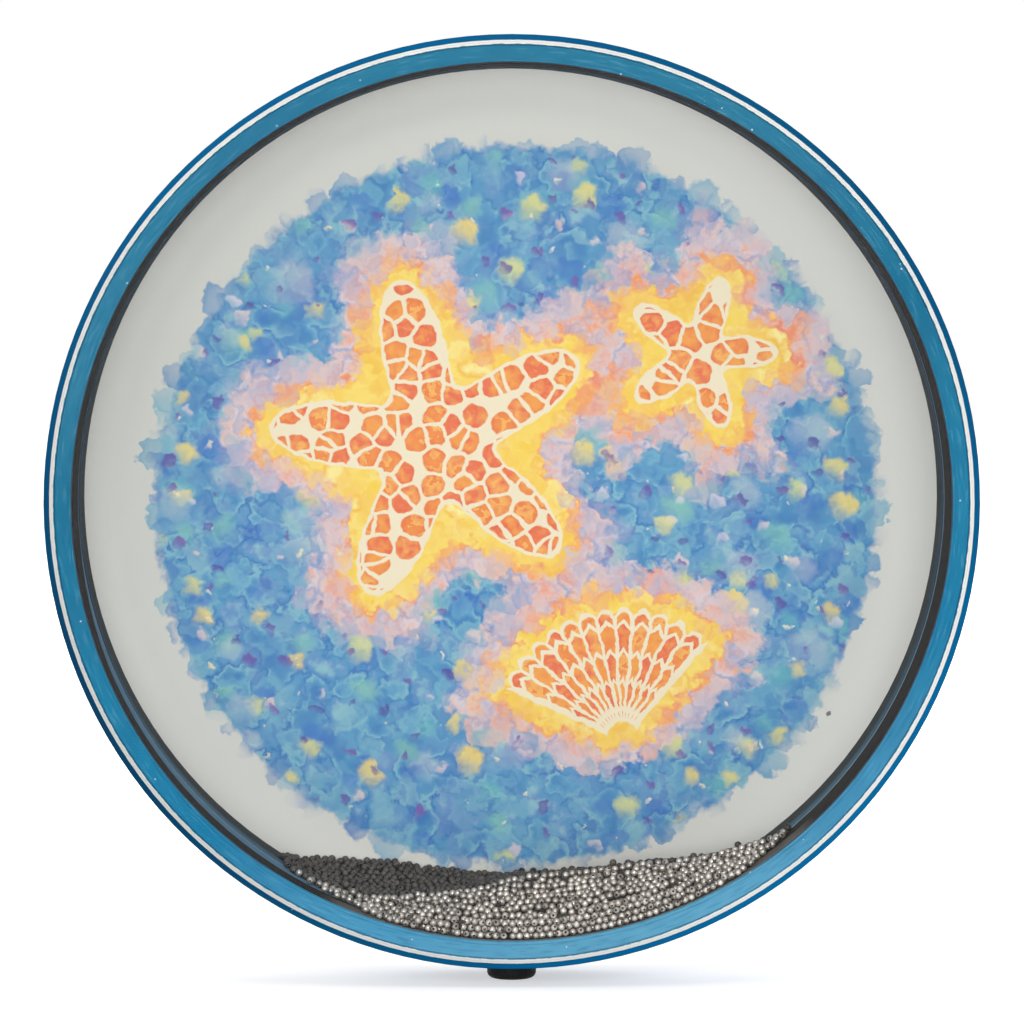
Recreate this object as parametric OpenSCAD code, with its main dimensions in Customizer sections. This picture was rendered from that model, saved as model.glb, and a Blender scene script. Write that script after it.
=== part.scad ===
// Ocean drum: a shallow closed frame drum with a clear head in front and a printed white
// head behind, and a heap of loose steel beads that rolls round inside the rim.
// The drum's axis lies along Y, the clear head faces -Y, and +Z is up.
// The origin is the middle of the rear head's outer face.

/* [Drum] */
// Outer diameter of the drum, over the wrap
drum_d = 406.4; // [330:1:560]
// Depth of the drum, over both heads
drum_depth = 63.5; // [50:0.5:110]

/* [Shell] */
// Thickness of the ply shell at its edges, inside the hoops
shell_edge_t = 7.9; // [5:0.1:14]
// Chamfer on the shell's edges under the heads
shell_chamfer = 0.6; // [0.2:0.1:1.5]

/* [Hoops] */
// Thickness of a white hoop, as seen from the front
hoop_t = 1.9; // [1:0.1:4]
// Depth of a hoop along the drum's axis
hoop_depth = 9.5; // [5:0.5:16]
// Chamfer on a hoop's corners
hoop_chamfer = 0.2; // [0.1:0.05:0.6]

/* [Wrap] */
// Thickness of the blue band round the outside
wrap_t = 2.3; // [1:0.1:4]
// How far the band's edges stay behind the faces of the heads
wrap_setback = 0.5; // [0.2:0.1:2]
// Chamfer on the band's outer corners
wrap_chamfer = 0.5; // [0.2:0.1:0.9]

/* [Heads] */
// Thickness of the head film
film_t = 0.3; // [0.2:0.05:0.6]
// How far the film's cut edge stays inside the wrap
film_inset = 0.3; // [0.1:0.1:1]

/* [Lining] */
// Thickness of the dark lining strips inside the shell
lining_t = 0.3; // [0.2:0.05:1]
// Width of a lining strip along the drum's axis
lining_w = 28; // [12:0.5:30]

/* [Fill plug] */
// Diameter of the plug's head
plug_head_d = 21.7; // [18:0.1:30]
// How far the plug's head stands out of the rim
plug_head_h = 8.3; // [5:0.1:12]
// Rounding of the plug's head
plug_round = 2.8; // [1:0.1:4]
// Diameter of the plug's stem
plug_stem_d = 13; // [9:0.1:16]
// Chamfer that leads the stem into its hole
plug_lead = 1.2; // [0.4:0.1:2]
// Diameter of the finger dimple in the plug's head
plug_dimple_d = 9; // [6:0.1:12]
// Depth of the finger dimple
plug_dimple_h = 1.2; // [0.6:0.1:2.4]

/* [Beads] */
// Diameter of one steel bead
bead_d = 3.175; // [2.5:0.005:5]
// Diameter of the hole through a bead
bead_hole_d = 1.15; // [0.6:0.05:1.6]
// Rows of separate beads across the level top of the middle and rear parts of the heap
top_rows = 3; // [1:1:6]
// Depth of the front part of the heap against the clear head
front_fill = 12; // [8:0.1:60]
// Slope of the front part's top, rising away from the clear head
front_slope = 32; // [0:0.5:36]
// Depth of the middle part of the heap
middle_fill = 25.3; // [16:0.1:60]
// Depth of the rear part of the heap
rear_fill = 22; // [16:0.1:60]
// Lean of the front part's top, rising towards +X
front_lean = 8.2; // [-30:0.1:30]
// Lean of the middle part's top
middle_lean = 5.7; // [-30:0.1:30]
// Lean of the rear part's top
rear_lean = -3; // [-30:0.1:30]

/* [Fits] */
// Glue line between two pieces that are bonded
glue = 0.1; // [0.05:0.01:0.2]
// Clearance of the plug's stem in its hole, on the radius
plug_fit = 0.05; // [0.02:0.01:0.1]
// Clearance between the rolling beads and the drum
roll_gap = 0.3; // [0.2:0.05:0.6]
// Gap between two parts of the heap that slide past each other
slice_gap = 0.4; // [0.3:0.05:0.8]
// Gap between two beads
bead_gap = 0.05; // [0.03:0.01:0.2]

/* [Hidden] */

$fn = 96;
over = 1;

wrap_r = drum_d / 2;
shell_r = wrap_r - wrap_t - glue;
hoop_r = shell_r;
hoop_in_r = hoop_r - hoop_t;
rebate_r = hoop_in_r - glue;
shell_in_r = rebate_r - shell_edge_t;
lining_in_r = shell_in_r - glue - lining_t;
film_r = wrap_r - wrap_t - film_inset;

mid = drum_depth / 2;
edge_rear = film_t + glue;
edge_front = drum_depth - edge_rear;

plug_bore_r = plug_stem_d / 2 + plug_fit;
bead_r = bead_d / 2;
pitch = bead_d + bead_gap;
row_h = pitch * sqrt(3) / 2;
heap_r = lining_in_r - roll_gap;
slices = 3;
rear_slice = 0;
middle_slice = 1;
front_slice = 2;
slice_len = (drum_depth - 2 * (film_t + roll_gap) - (slices - 1) * slice_gap) / slices;
function slice_start(i) = film_t + roll_gap + i * (slice_len + slice_gap);
golden = (1 + sqrt(5)) / 2;

// Everything is drawn with the axis up, measured forward from the rear face, and laid along Y here
module along_axis() {
    rotate([90, 0, 0])
        children();
}

// A band round the axis with both outer corners chamfered
module band(r_in, r_out, from, to, chamfer) {
    rotate_extrude($fn = 180)
        polygon([
            [r_in, from], [r_out - chamfer, from], [r_out, from + chamfer],
            [r_out, to - chamfer], [r_out - chamfer, to], [r_in, to]
        ]);
}

// The radial hole at the bottom of the rim, at the middle of the depth
module fill_hole(r) {
    translate([0, -shell_in_r + over + lining_t, mid])
        rotate([90, 0, 0])
            cylinder(r = r, h = wrap_r - shell_in_r + lining_t + 2 * over);
}

// Ply ring, full thickness in the middle and stepped down at both edges for the hoops
module shell() {
    step = hoop_depth + glue;
    color("#3a7ea3")
        along_axis()
            difference() {
                rotate_extrude($fn = 180)
                    polygon([
                        [shell_in_r + shell_chamfer, edge_rear],
                        [rebate_r - shell_chamfer, edge_rear],
                        [rebate_r, edge_rear + shell_chamfer],
                        [rebate_r, edge_rear + step],
                        [shell_r, edge_rear + step],
                        [shell_r, edge_front - step],
                        [rebate_r, edge_front - step],
                        [rebate_r, edge_front - shell_chamfer],
                        [rebate_r - shell_chamfer, edge_front],
                        [shell_in_r + shell_chamfer, edge_front],
                        [shell_in_r, edge_front - shell_chamfer],
                        [shell_in_r, edge_rear + shell_chamfer]
                    ]);
                fill_hole(plug_bore_r);
            }
}

// Blue band bonded round the shell and the hoops
module outer_wrap() {
    color("#14588a")
        along_axis()
            difference() {
                band(wrap_r - wrap_t, wrap_r, wrap_setback, drum_depth - wrap_setback, wrap_chamfer);
                fill_hole(plug_bore_r);
            }
}

module hoop(from) {
    color("#eef0ee")
        along_axis()
            band(hoop_in_r, hoop_r, from, from + hoop_depth, hoop_chamfer);
}

// White hoops in the shell's steps, which carry the film
module front_hoop() { hoop(edge_front - hoop_depth); }
module rear_hoop() { hoop(edge_rear); }

module film(from) {
    along_axis()
        translate([0, 0, from])
            cylinder(r = film_r, h = film_t, $fn = 180);
}

// Clear film over the front edge
module front_head() {
    color("#dfe9ee", 0.25)
        film(drum_depth - film_t);
}

// White film over the rear edge, printed on its inner face
module rear_head() {
    color("#e8e8e2")
        film(0);
}

module lining(from) {
    along_axis()
        rotate_extrude($fn = 180)
            translate([lining_in_r, from])
                square([lining_t, lining_w]);
}

// Dark strips that close the corners between the shell and the heads
module front_lining() {
    color("#37352f")
        lining(drum_depth - film_t - roll_gap - lining_w);
}

module rear_lining() {
    color("#3a3f42")
        lining(film_t + roll_gap);
}

// Turns a shape that stands on the rim, and points outward, to the bottom of the rim
module at_plug() {
    translate([0, -wrap_r, mid])
        rotate([90, 0, 0])
            children();
}

// Half outline of the plug's head, with a rounded outer edge
module plug_head_outline() {
    head_r = plug_head_d / 2;
    translate([0, -plug_round])
        square([head_r, plug_head_h]);
    square([head_r - plug_round, plug_head_h]);
    translate([head_r - plug_round, plug_head_h - plug_round])
        circle(plug_round);
}

// Rubber stopper of the fill hole, its head hollowed to sit on the round of the rim
module fill_plug() {
    stem_in = wrap_r - shell_in_r - roll_gap;
    stem_out = (plug_head_h - plug_dimple_h) / 2;
    color("#1c1d1f")
        along_axis() {
            difference() {
                at_plug()
                    rotate_extrude()
                        plug_head_outline();
                cylinder(r = wrap_r + glue, h = drum_depth, $fn = 180);
                at_plug()
                    translate([0, 0, plug_head_h - plug_dimple_h])
                        cylinder(d = plug_dimple_d, h = plug_dimple_h + over);
            }
            at_plug() {
                translate([0, 0, -stem_in])
                    cylinder(d1 = plug_stem_d - 2 * plug_lead, d2 = plug_stem_d, h = plug_lead);
                translate([0, 0, plug_lead - stem_in])
                    cylinder(d = plug_stem_d, h = stem_in - plug_lead + stem_out);
            }
        }
}

// One bead, its hole turned a different way for each number
module bead(x, y, z, number) {
    translate([x, y, z])
        rotate([number * golden * 180, number * golden * 120, 0])
            difference() {
                sphere(bead_r, $fn = 24);
                cylinder(d = bead_hole_d, h = bead_d + over, center = true, $fn = 16);
            }
}

// Outline of the heap, filled up to a level line that lies this far from the axis
module heap_outline(level) {
    intersection() {
        circle(heap_r, $fn = 180);
        translate([-heap_r, -heap_r])
            square([2 * heap_r, heap_r - level]);
    }
}

// A level part of the heap as a solid, stepped down under the separate beads at its front
module level_mass(i, fill, lean) {
    level = heap_r - fill;
    rows_depth = bead_d + (top_rows - 1) * row_h + bead_gap;
    color("#8d8983")
        along_axis()
            rotate([0, 0, lean])
                translate([0, 0, slice_start(i)]) {
                    linear_extrude(slice_len - rows_depth)
                        heap_outline(level);
                    linear_extrude(slice_len)
                        heap_outline(level + pitch);
                }
}

// Separate beads in rows across the top of one part of the heap, the first row this far back
module top_beads(i, fill, lean, slope, first, rows) {
    color("#c9c4bb")
        along_axis()
            rotate([0, 0, lean])
                for (row = [0 : rows - 1]) {
                    back = first + row * row_h * cos(slope);
                    top = heap_r - fill - back * tan(slope) + bead_r / cos(slope);
                    half = sqrt(pow(heap_r - bead_r, 2) - pow(top, 2));
                    odd = row % 2;
                    count = floor((half - odd * pitch / 2) / pitch);
                    for (n = [-count : count - odd])
                        bead((n + odd / 2) * pitch, -top,
                            slice_start(i) + slice_len - back, n + row * 7);
                }
}

// Front layer of the heap, seen through the clear head: curved rows that follow the rim
module front_beads() {
    top = heap_r - front_fill + bead_r;
    rows = floor((front_fill - bead_d) / row_h) + 1;
    inner_row_r = heap_r - bead_r - (rows - 1) * row_h;
    step = pitch / inner_row_r * 180 / PI;
    color("#c9c4bb")
        along_axis()
            rotate([0, 0, front_lean])
                for (row = [0 : rows - 1]) {
                    odd = row % 2;
                    r = heap_r - bead_r - row * row_h;
                    count = floor(acos(top / r) / step - odd / 2);
                    for (n = [-count : count - odd])
                        bead(r * sin((n + odd / 2) * step), -r * cos((n + odd / 2) * step),
                            slice_start(front_slice) + slice_len - bead_r, n + row * 5);
                }
}

// Rows of beads up the whole slope behind the front layer
module front_top_beads() {
    room = slice_len - bead_d - pitch;
    rows = floor(room / (row_h * cos(front_slope))) + 1;
    top_beads(front_slice, front_fill, front_lean, front_slope, bead_r + pitch, rows);
}

module middle_beads() { top_beads(middle_slice, middle_fill, middle_lean, 0, bead_r, top_rows); }
module rear_beads() { top_beads(rear_slice, rear_fill, rear_lean, 0, bead_r, top_rows); }

// The front part's solid, one bead under its slope and one bead behind its front layer
module front_bead_mass() {
    front = slice_start(front_slice) + slice_len;
    color("#8d8983")
        along_axis()
            rotate([0, 0, front_lean])
                intersection() {
                    translate([0, 0, slice_start(front_slice)])
                        cylinder(r = heap_r, h = slice_len - pitch, $fn = 180);
                    translate([0, front_fill - heap_r, front])
                        rotate([front_slope, 0, 0])
                            translate([-heap_r, -heap_r - pitch, -heap_r])
                                cube([2 * heap_r, heap_r, 2 * heap_r]);
                }
}

module middle_bead_mass() { level_mass(middle_slice, middle_fill, middle_lean); }
module rear_bead_mass() { level_mass(rear_slice, rear_fill, rear_lean); }

shell();
outer_wrap();
front_hoop();
rear_hoop();
front_head();
rear_head();
front_lining();
rear_lining();
fill_plug();
front_bead_mass();
front_beads();
front_top_beads();
middle_bead_mass();
middle_beads();
rear_bead_mass();
rear_beads();
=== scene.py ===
"""Ocean drum: blue rim, white hoops, a clear head, a printed head and rolling steel beads."""

import itertools
import math
import random

import bmesh
import bpy
from mathutils import Euler, Matrix, Vector


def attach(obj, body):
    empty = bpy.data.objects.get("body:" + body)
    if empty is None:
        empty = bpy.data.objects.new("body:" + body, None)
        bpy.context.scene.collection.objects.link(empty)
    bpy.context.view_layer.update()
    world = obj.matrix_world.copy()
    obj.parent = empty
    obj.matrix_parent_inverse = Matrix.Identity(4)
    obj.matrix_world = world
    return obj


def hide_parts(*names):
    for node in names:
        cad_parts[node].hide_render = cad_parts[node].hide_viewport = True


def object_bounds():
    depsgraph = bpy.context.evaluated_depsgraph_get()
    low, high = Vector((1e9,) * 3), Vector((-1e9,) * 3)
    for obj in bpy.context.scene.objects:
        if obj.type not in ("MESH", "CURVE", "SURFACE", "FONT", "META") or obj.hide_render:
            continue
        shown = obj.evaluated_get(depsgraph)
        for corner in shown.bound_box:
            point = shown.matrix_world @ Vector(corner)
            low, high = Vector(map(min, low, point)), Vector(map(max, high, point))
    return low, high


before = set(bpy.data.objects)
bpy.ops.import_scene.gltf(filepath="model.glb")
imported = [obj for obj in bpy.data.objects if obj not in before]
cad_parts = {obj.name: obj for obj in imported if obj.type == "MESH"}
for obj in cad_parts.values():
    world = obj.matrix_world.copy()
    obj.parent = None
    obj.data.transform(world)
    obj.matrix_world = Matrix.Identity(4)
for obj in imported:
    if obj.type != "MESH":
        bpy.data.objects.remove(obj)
cad_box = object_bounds()

# Sizes, in metres

MM = 0.001
FRONT_Y = round(cad_box[0][1], 6)
FLOOR_Z = round(cad_box[0][2], 6)
HOOP_IN_R = 0.1989
SHELL_R = 0.2008
SHELL_IN_R = 0.1909
PLY_LINE_R = 0.1925
BETWEEN_LININGS = -0.032

# The heap: its round wall, where each third of it begins and how long a third is
HEAP_R = 0.1904
HEAP_FRONT = -0.0629
SLICE_FRONTS = {"front_heap": HEAP_FRONT, "middle_heap": -0.0420, "rear_heap": -0.0211}
SLICE_LEN = 0.0205

# A bead, the pitch in a row, the step from row to row, and how close two centres may come
BEAD_R = 0.0015875
BEAD_HOLE_R = 0.00055
BEAD_OUTLINE_STEPS = 7
BEAD_SPIN_STEPS = 14
PITCH = 0.003225
ROW_STEP = 0.00279
FILM_GAP = BEAD_R * 1.72
TOP_GAP = BEAD_R * 1.7
FRONT_GAP = BEAD_R * 1.8

# Top of the heap, (x, z) in millimetres, against the clear head, along its crest and behind
FILM_LINE = ((-70, -186), (-64, -181), (-36, -181.4), (0, -181), (21, -180.4), (40, -175.5),
             (60, -170.6), (85, -164), (111, -157.5), (122, -155))
CREST_LINE = ((-100, -160), (-97, -161.8), (-92, -164.4), (-88, -166.2), (-64, -173.2),
              (-49, -172.9), (-31, -171.4), (-14, -169.2), (3, -163.8), (21, -162.3), (39, -160.8),
              (60, -157.6), (82, -156), (100, -151.6), (117, -146.0), (123, -142.0))
REAR_LINE = ((-104, -158.5), (-100, -159.9), (-95, -160.9), (-90, -160.2), (-73, -161),
             (-51, -161.9), (-43, -163.8), (-33, -165.3), (-18, -167.4), (0, -168.9), (20, -169),
             (60, -168.5), (88, -168), (95, -170))
CREST_FROM = 0.014
CREST_DEPTH = 0.024
REAR_DEPTH = 0.063
HEAP_ENDS = (-0.104, 0.124)

# How uneven the heap is, and how often a bead is missing, stands proud or shows its hole in front
LOOSE_TOP = 0.3 * MM
LOOSE_ROW = 0.35 * MM
LOOSE_FRONT = 0.2 * MM
MISSING = 0.02
PROUD = 0.03
PROUD_ON_CREST = 0.16
PROUD_BY = (0.8 * MM, 1.8 * MM)
HOLE_FORWARD = 0.4

# Colours, as they are seen


def colour(red, green, blue):
    """A colour given in 0-255, as the shader wants it."""
    def linear(value):
        value /= 255
        return value / 12.92 if value <= 0.04045 else ((value + 0.055) / 1.055) ** 2.4
    return (linear(red), linear(green), linear(blue), 1.0)


# Node helpers


class Board:
    """Adds nodes to one tree. Each call gives back the socket to use next."""

    def __init__(self, tree):
        self.tree = tree

    def add(self, kind, **settings):
        node = self.tree.nodes.new(kind)
        for name, value in settings.items():
            setattr(node, name, value)
        return node

    def put(self, value, socket):
        if isinstance(value, bpy.types.NodeSocket):
            self.tree.links.new(value, socket)
        else:
            socket.default_value = value

    def maths(self, operation, *values, clamp=False):
        node = self.add("ShaderNodeMath", operation=operation, use_clamp=clamp)
        for value, socket in zip(values, node.inputs):
            self.put(value, socket)
        return node.outputs[0]

    def times(self, first, second):
        return self.maths("MULTIPLY", first, second)

    def line(self, value, slope, start):
        """A straight line: value times slope, plus start."""
        return self.maths("MULTIPLY_ADD", value, slope, start)

    def less(self, first, second):
        return self.maths("SUBTRACT", first, second)

    def apart(self, first, second):
        return self.maths("ABSOLUTE", self.less(first, second))

    def vector(self, operation, *values, out="Vector"):
        node = self.add("ShaderNodeVectorMath", operation=operation)
        for value, socket in zip(values, node.inputs):
            self.put(value, socket)
        return node.outputs[out]

    def scaled(self, vector, factor):
        node = self.add("ShaderNodeVectorMath", operation="SCALE")
        self.put(vector, node.inputs[0])
        self.put(factor, node.inputs["Scale"])
        return node.outputs["Vector"]

    def split(self, vector):
        node = self.add("ShaderNodeSeparateXYZ")
        self.put(vector, node.inputs[0])
        return node.outputs[0], node.outputs[1], node.outputs[2]

    def join(self, x, y, z):
        node = self.add("ShaderNodeCombineXYZ")
        for value, socket in zip((x, y, z), node.inputs):
            self.put(value, socket)
        return node.outputs[0]

    def step(self, value, low, high, to_low=0.0, to_high=1.0):
        """A smooth step of value from low to high."""
        node = self.add("ShaderNodeMapRange", interpolation_type="SMOOTHSTEP")
        for number, item in enumerate((value, low, high, to_low, to_high)):
            self.put(item, node.inputs[number])
        return node.outputs[0]

    def mix(self, factor, first, second):
        node = self.add("ShaderNodeMix", data_type="RGBA")
        self.put(factor, node.inputs[0])
        self.put(first, node.inputs[6])
        self.put(second, node.inputs[7])
        return node.outputs[2]

    def tint(self, tone, mask, strength, shade):
        """Turns a tone towards a shade where the mask is 1, by this strength."""
        return self.mix(self.times(mask, strength), tone, shade)

    def noise(self, vector, scale, detail=2.0, out=0, dimensions="3D"):
        node = self.add("ShaderNodeTexNoise", noise_dimensions=dimensions)
        self.put(vector, node.inputs["Vector"])
        self.put(scale, node.inputs["Scale"])
        self.put(detail, node.inputs["Detail"])
        return node.outputs[out]

    def cells(self, vector, scale, dimensions="2D"):
        node = self.add("ShaderNodeTexVoronoi", voronoi_dimensions=dimensions)
        self.put(vector, node.inputs["Vector"])
        self.put(scale, node.inputs["Scale"])
        return node.outputs

    def ramp(self, factor, stops):
        node = self.add("ShaderNodeValToRGB")
        elements = node.color_ramp.elements
        while len(elements) < len(stops):
            elements.new(0.5)
        for element, (place, shade) in zip(elements, stops):
            element.position = place
            element.color = shade
        self.put(factor, node.inputs[0])
        return node.outputs[0]

    def channels(self, shade):
        node = self.add("ShaderNodeSeparateColor")
        self.put(shade, node.inputs[0])
        return node.outputs[0], node.outputs[1], node.outputs[2]

    def group(self, tree, **values):
        node = self.add("ShaderNodeGroup", node_tree=tree)
        for name, value in values.items():
            self.put(value, node.inputs[name])
        return node.outputs

    def place(self):
        return self.add("ShaderNodeTexCoord").outputs["Object"]

    def bump(self, height, strength, distance):
        node = self.add("ShaderNodeBump")
        node.inputs["Strength"].default_value = strength
        node.inputs["Distance"].default_value = distance
        self.put(height, node.inputs["Height"])
        return node.outputs[0]


KINDS = {"value": "NodeSocketFloat", "colour": "NodeSocketColor", "vector": "NodeSocketVector"}
PLACE = ("Place", "vector")
POINT = ("Point", "vector")
UNDER = ("Under", "colour")
COLOUR_OUT = [("Colour", "colour")]


def new_group(name, inputs, outputs):
    """A node group with these named sockets; gives its board, its inputs and its output node."""
    tree = bpy.data.node_groups.new(name, "ShaderNodeTree")
    for label, kind in inputs:
        tree.interface.new_socket(label, in_out="INPUT", socket_type=KINDS[kind])
    for label, kind in outputs:
        tree.interface.new_socket(label, in_out="OUTPUT", socket_type=KINDS[kind])
    board = Board(tree)
    start = board.add("NodeGroupInput").outputs
    end = board.add("NodeGroupOutput").inputs
    return board, start, end


def new_material(name):
    """A material with one shader; gives the material, its board and the shader's inputs."""
    made = bpy.data.materials.new(name)
    made.use_nodes = True
    board = Board(made.node_tree)
    shader = made.node_tree.nodes["Principled BSDF"]
    return made, board, shader.inputs


# Shared effects


def ring_place_group():
    """Where a point lies on the drum: its radius, and a vector that runs along the ring."""
    board, start, end = new_group("ring_place", [PLACE], [("Radius", "value"), ("Along", "vector")])
    x, y, z = board.split(start["Place"])
    radius = board.vector("LENGTH", board.join(x, 0.0, z), out="Value")
    turn = board.maths("ARCTAN2", x, z)
    board.put(radius, end["Radius"])
    board.put(board.join(board.times(turn, 0.2), radius, y), end["Along"])
    return board.tree


def streaks_group():
    """Fine brushed streaks along the ring, and a slow drift of tone."""
    board, start, end = new_group("streaks", [("Along", "vector"), ("Fineness", "value")],
                                  [("Streak", "value"), ("Drift", "value")])
    stretched = board.vector("MULTIPLY", start["Along"], (0.12, 1.0, 1.0))
    board.put(board.noise(stretched, start["Fineness"], 4.0), end["Streak"])
    board.put(board.noise(start["Along"], 22.0, 2.0), end["Drift"])
    return board.tree


def dust_group():
    """Sparse pale specks of dust."""
    board, start, end = new_group("dust", [PLACE, ("Spacing", "value"), ("Share", "value")],
                                  [("Speck", "value")])
    cells = board.cells(start["Place"], board.maths("DIVIDE", 1.0, start["Spacing"]), "3D")
    red, green, _ = board.channels(cells["Color"])
    size = board.times(green, 0.09)
    near = board.maths("LESS_THAN", cells["Distance"], size)
    chosen = board.maths("LESS_THAN", red, start["Share"])
    board.put(board.times(near, chosen), end["Speck"])
    return board.tree


def grain_group():
    """Fine even grain, for bump and a little roughness."""
    board, start, end = new_group("grain", [PLACE, ("Fineness", "value")],
                                  [("Grain", "value"), ("Cloud", "value")])
    board.put(board.noise(start["Place"], start["Fineness"], 3.0), end["Grain"])
    board.put(board.noise(start["Place"], 35.0, 3.0), end["Cloud"])
    return board.tree


TEALS = [(0.0, colour(28, 114, 146)), (0.24, colour(34, 117, 149)), (0.38, colour(2, 107, 141)),
         (0.63, colour(16, 122, 160)), (0.76, colour(4, 117, 158)), (0.92, colour(72, 150, 188)),
         (0.98, colour(90, 160, 193))]


def teal_group():
    """The teal of the ply's front edge, paler towards the lower right."""
    board, start, end = new_group("teal", [PLACE], COLOUR_OUT)
    lower = board.vector("DOT_PRODUCT", start["Place"], (0.26, 0.0, -0.97), out="Value")
    board.put(board.ramp(board.line(lower, 2.5, 0.5), TEALS), end["Colour"])
    return board.tree


def painted_rim_light_group():
    """Painted light and shade: a slow change of brightness round the rim, for how the lamps fall on
    it.
    """
    board, start, end = new_group("sides", [PLACE, ("Wave", "value"), ("Right", "value"),
                                            ("Top", "value")], [("Light", "value")])
    flat = board.vector("MULTIPLY", start["Place"], (1.0, 0.0, 1.0))
    x, _, z = board.split(board.vector("NORMALIZE", flat))
    square = board.less(board.times(z, z), board.times(x, x))
    wave = board.line(board.times(x, z), -1.88, board.times(square, 0.34))
    light = board.line(wave, start["Wave"], 1.0)
    light = board.line(x, start["Right"], light)
    board.put(board.line(z, start["Top"], light), end["Light"])
    return board.tree


# The printed design

# A painted sea of watercolour dabs round two glowing starfish and a scallop, all made of stones.
# Points are in millimetres on the rear head, x to the right and y up.

FIELD_CENTRE = (2.2, -4.5, 0.0)
FIELD_R = 163.5
GLOW_REACH = 27.0
GLOW_MERGE = 16.0
LARGE_STAR = {"Middle": (-34.0, 24.0, 0.0), "Size": 72.0, "Turn": 0.22}
SMALL_STAR = {"Middle": (84.0, 64.0, 0.0), "Size": 33.0, "Turn": -0.3}
FAN_HINGE = (50.0, -108.0, 0.0)
FAN_R = 56.0
FAN_TURN = 0.22
FAN_HALF_ANGLE = 0.92
FAN_RIBS = 6.5
FAN_BAND = 13.0
STONE_WIDTH = 10.0
FLECK = (142.0, -73.5, 0.0)

BLUES = [(0.0, colour(68, 130, 184)), (0.18, colour(94, 156, 194)), (0.36, colour(130, 184, 198)),
         (0.54, colour(64, 116, 182)), (0.7, colour(84, 152, 192)), (0.85, colour(108, 146, 194)),
         (1.0, colour(138, 187, 198))]
MAUVES = [(0.0, colour(200, 184, 198)), (0.25, colour(222, 196, 188)), (0.5, colour(160, 164, 196)),
          (0.75, colour(216, 204, 208)), (1.0, colour(232, 170, 148))]
ORANGES = [(0.0, colour(242, 178, 102)), (0.35, colour(236, 150, 106)),
           (0.7, colour(245, 200, 110)), (1.0, colour(232, 134, 106))]
YELLOWS = [(0.0, colour(243, 205, 80)), (0.4, colour(245, 219, 116)), (0.75, colour(240, 188, 74)),
           (1.0, colour(246, 230, 152))]
CORALS = [(0.0, colour(234, 132, 74)), (0.35, colour(240, 164, 80)), (0.65, colour(229, 110, 80)),
          (1.0, colour(243, 184, 98))]
CREAM = colour(236, 226, 200)


def star_group():
    """A five-armed star: how far a point lies outside it, its mask and the line round it."""
    board, start, end = new_group("star", [POINT, ("Middle", "vector"), ("Size", "value"),
                                           ("Turn", "value")],
                                  [("Mask", "value"), ("Line", "value"), ("Out", "value")])
    offset = board.vector("SUBTRACT", start["Point"], start["Middle"])
    x, y, _ = board.split(offset)
    away = board.vector("LENGTH", offset, out="Value")
    angle = board.maths("ADD", board.maths("ARCTAN2", x, y), start["Turn"])
    wave = board.maths("COSINE", board.times(angle, 5.0))
    half = board.line(wave, 0.5, 0.5)
    arm = board.maths("POWER", half, 1.5)
    reach = board.times(start["Size"], board.line(arm, 0.64, 0.36))
    past = board.less(away, reach)
    steep = board.times(half, board.less(1.0, half))
    past = board.times(past, board.line(steep, -1.9, 1.0))
    board.put(board.step(past, 0.4, -0.4), end["Mask"])
    board.put(board.step(past, 2.6, 1.8), end["Line"])
    wide = board.times(start["Size"], board.line(half, 0.42, 0.52))
    board.put(board.maths("MINIMUM", board.less(away, wide), past), end["Out"])
    return board.tree


def fan_group():
    """A scallop: how far a point lies outside it, its mask, the line round it and its grooves."""
    board, start, end = new_group("fan", [POINT], [("Mask", "value"), ("Line", "value"),
                                                   ("Out", "value"), ("Groove", "value"),
                                                   ("Pick", "value")])
    offset = board.vector("SUBTRACT", start["Point"], FAN_HINGE)
    x, y, _ = board.split(offset)
    away = board.vector("LENGTH", offset, out="Value")
    angle = board.maths("ADD", board.maths("ARCTAN2", x, y), FAN_TURN)
    ribs = board.times(angle, FAN_RIBS)
    rib = board.apart(board.maths("FRACT", ribs), 0.5)
    edge = board.line(board.times(rib, rib), -16.0, FAN_R)
    past = board.less(away, edge)
    side = board.less(board.maths("ABSOLUTE", angle), FAN_HALF_ANGLE)
    past = board.maths("MAXIMUM", past, board.times(side, away))
    past = board.maths("MAXIMUM", past, board.less(9.0, away))
    board.put(board.step(past, 0.4, -0.4), end["Mask"])
    board.put(board.step(past, 2.6, 1.8), end["Line"])
    board.put(past, end["Out"])
    width = board.maths("DIVIDE", 4.2, board.maths("MAXIMUM", away, 10.0))
    groove = board.step(rib, board.less(0.46, width), board.less(0.5, width))
    bands = board.maths("DIVIDE", board.maths("ADD", away, board.times(rib, 8.0)), FAN_BAND)
    band = board.apart(board.maths("FRACT", bands), 0.5)
    board.put(board.maths("MAXIMUM", groove, board.step(band, 0.39, 0.43)), end["Groove"])
    pick = board.maths("ADD", board.times(board.maths("FLOOR", ribs), 0.37),
                       board.times(board.maths("FLOOR", bands), 0.61))
    board.put(board.maths("FRACT", pick), end["Pick"])
    return board.tree


def zones_group(star, fan):
    """What lies at a point: whether it is in the painted sea, and how strongly a motif glows."""
    board, start, end = new_group("zones", [POINT], [("Field", "value"), ("Glow", "value")])
    point = start["Point"]
    middle = board.vector("DISTANCE", point, FIELD_CENTRE, out="Value")
    board.put(board.maths("LESS_THAN", middle, FIELD_R), end["Field"])
    out = board.maths("SMOOTH_MIN", board.group(star, Point=point, **LARGE_STAR)["Out"],
                      board.group(star, Point=point, **SMALL_STAR)["Out"], GLOW_MERGE)
    out = board.maths("SMOOTH_MIN", out, board.group(fan, Point=point)["Out"], GLOW_MERGE)
    board.put(board.line(out, -1 / GLOW_REACH, 1.0), end["Glow"])
    return board.tree


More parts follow.
